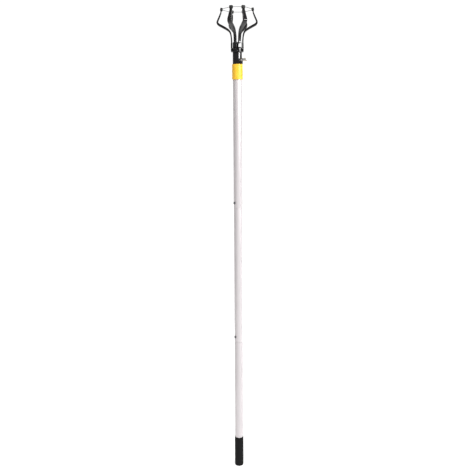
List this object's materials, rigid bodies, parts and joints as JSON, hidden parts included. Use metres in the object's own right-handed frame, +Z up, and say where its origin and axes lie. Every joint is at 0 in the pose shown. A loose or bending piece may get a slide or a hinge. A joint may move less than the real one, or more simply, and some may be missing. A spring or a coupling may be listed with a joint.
{
  "type": "light bulb changer pole",
  "caption": "Jointed aluminium pole with a vinyl grip, push-button section joints and a slide-off basket head of sprung claws joined by a tip wire.",
  "frame": {"origin": "centre of the grip's flat bottom, on the pole's axis", "axes": "+Z up the pole to the claws, +X through one side claw, on the side of the head's thumb screw, +Y away from the front pair of claws"},
  "size_m": [0.114, 0.1106, 1.3718],
  "materials": {
    "aluminium": "satin painted silver",
    "grip_vinyl": "soft black vinyl, matt",
    "collar_yellow": "semi-gloss",
    "black_plastic": "moulded, semi-gloss",
    "tip_rubber": "soft, matt",
    "steel": "nickel plated",
    "brass": "machined",
    "zinc": "zinc plated",
    "spring_wire": "black coated"
  },
  "bodies": {
    "pole": {"grip_cap": "grip_vinyl", "lower_tube": "aluminium", "middle_tube": "aluminium", "upper_tube": "aluminium", "lower_snap_leaf": "steel", "upper_snap_leaf": "steel", "collar_sleeve": "collar_yellow", "pole_spigot": "black_plastic", "spigot_pin": "steel"},
    "lower_button": {"lower_snap_button": "steel"},
    "upper_button": {"upper_snap_button": "steel"},
    "head": {"neck_socket": "black_plastic", "screw_insert": "brass", "hub_crown": "black_plastic", "crown_bolt": "steel", "crown_nut": "steel", "claw_pin_1": "steel", "claw_pin_2": "steel", "claw_pin_3": "steel", "claw_pin_4": "steel", "claw_pin_5": "steel", "claw_pin_6": "steel"},
    "thumb_screw": {"thumb_screw": "zinc"},
    "claw_1": {"claw_1": "black_plastic", "tip_pad_1": "tip_rubber", "ring_wire_1": "spring_wire"},
    "claw_2": {"claw_2": "black_plastic", "tip_pad_2": "tip_rubber", "ring_wire_2": "spring_wire"},
    "claw_3": {"claw_3": "black_plastic", "tip_pad_3": "tip_rubber", "ring_wire_3": "spring_wire"},
    "claw_4": {"claw_4": "black_plastic", "tip_pad_4": "tip_rubber", "ring_wire_4": "spring_wire"},
    "claw_5": {"claw_5": "black_plastic", "tip_pad_5": "tip_rubber", "ring_wire_5": "spring_wire"},
    "claw_6": {"claw_6": "black_plastic", "tip_pad_6": "tip_rubber", "ring_wire_6": "spring_wire"}
  },
  "joints": [
    {"name": "lower_button_press", "type": "slide", "parent": "pole", "child": "lower_button", "axis": [0.766, 0.6428, 0], "range_m": [0, 0.0042], "stiffness_N_per_m": 400, "springref_m": -0.01, "deforming": ["lower_snap_leaf"]},
    {"name": "upper_button_press", "type": "slide", "parent": "pole", "child": "upper_button", "axis": [0.766, 0.6428, 0], "range_m": [0, 0.0042], "stiffness_N_per_m": 400, "springref_m": -0.01, "deforming": ["upper_snap_leaf"]},
    {"name": "head_pull_off", "type": "slide", "parent": "pole", "child": "head", "axis": [0, 0, 1], "range_m": [0, 0.03]},
    {"name": "thumb_screw_turn", "type": "hinge", "parent": "head", "child": "thumb_screw", "pos_m": [0.01638, -0.01147, 1.233], "axis": [0.8192, -0.5736, 0], "continuous": true},
    {"name": "claw_1_flex", "type": "hinge", "parent": "head", "child": "claw_1", "pos_m": [0.0155, 0, 1.263], "axis": [0, 1, 0], "range_deg": [0, 4], "stiffness_Nm_per_rad": 4, "springref_deg": -1.72, "deforming": ["ring_wire_1"]},
    {"name": "claw_2_flex", "type": "hinge", "parent": "head", "child": "claw_2", "pos_m": [0.0063, 0.01416, 1.263], "axis": [-0.9135, 0.4067, 0], "range_deg": [0, 4], "stiffness_Nm_per_rad": 4, "springref_deg": -1.72, "deforming": ["ring_wire_2"]},
    {"name": "claw_3_flex", "type": "hinge", "parent": "head", "child": "claw_3", "pos_m": [-0.00556, 0.01447, 1.263], "axis": [-0.9336, -0.3584, 0], "range_deg": [0, 4], "stiffness_Nm_per_rad": 4, "springref_deg": -1.72, "deforming": ["ring_wire_3"]},
    {"name": "claw_4_flex", "type": "hinge", "parent": "head", "child": "claw_4", "pos_m": [-0.0155, 0, 1.263], "axis": [0, -1, 0], "range_deg": [0, 4], "stiffness_Nm_per_rad": 4, "springref_deg": -1.72, "deforming": ["ring_wire_4"]},
    {"name": "claw_5_flex", "type": "hinge", "parent": "head", "child": "claw_5", "pos_m": [-0.00556, -0.01447, 1.263], "axis": [0.9336, -0.3584, 0], "range_deg": [0, 4], "stiffness_Nm_per_rad": 4, "springref_deg": -1.72, "deforming": ["ring_wire_5"]},
    {"name": "claw_6_flex", "type": "hinge", "parent": "head", "child": "claw_6", "pos_m": [0.0063, -0.01416, 1.263], "axis": [0.9135, 0.4067, 0], "range_deg": [0, 4], "stiffness_Nm_per_rad": 4, "springref_deg": -1.72, "deforming": ["ring_wire_6"]}
  ],
  "couplings": [
    {"joint": "claw_2_flex", "follows": "claw_1_flex", "ratio": 1},
    {"joint": "claw_3_flex", "follows": "claw_1_flex", "ratio": 1},
    {"joint": "claw_4_flex", "follows": "claw_1_flex", "ratio": 1},
    {"joint": "claw_5_flex", "follows": "claw_1_flex", "ratio": 1},
    {"joint": "claw_6_flex", "follows": "claw_1_flex", "ratio": 1}
  ]
}
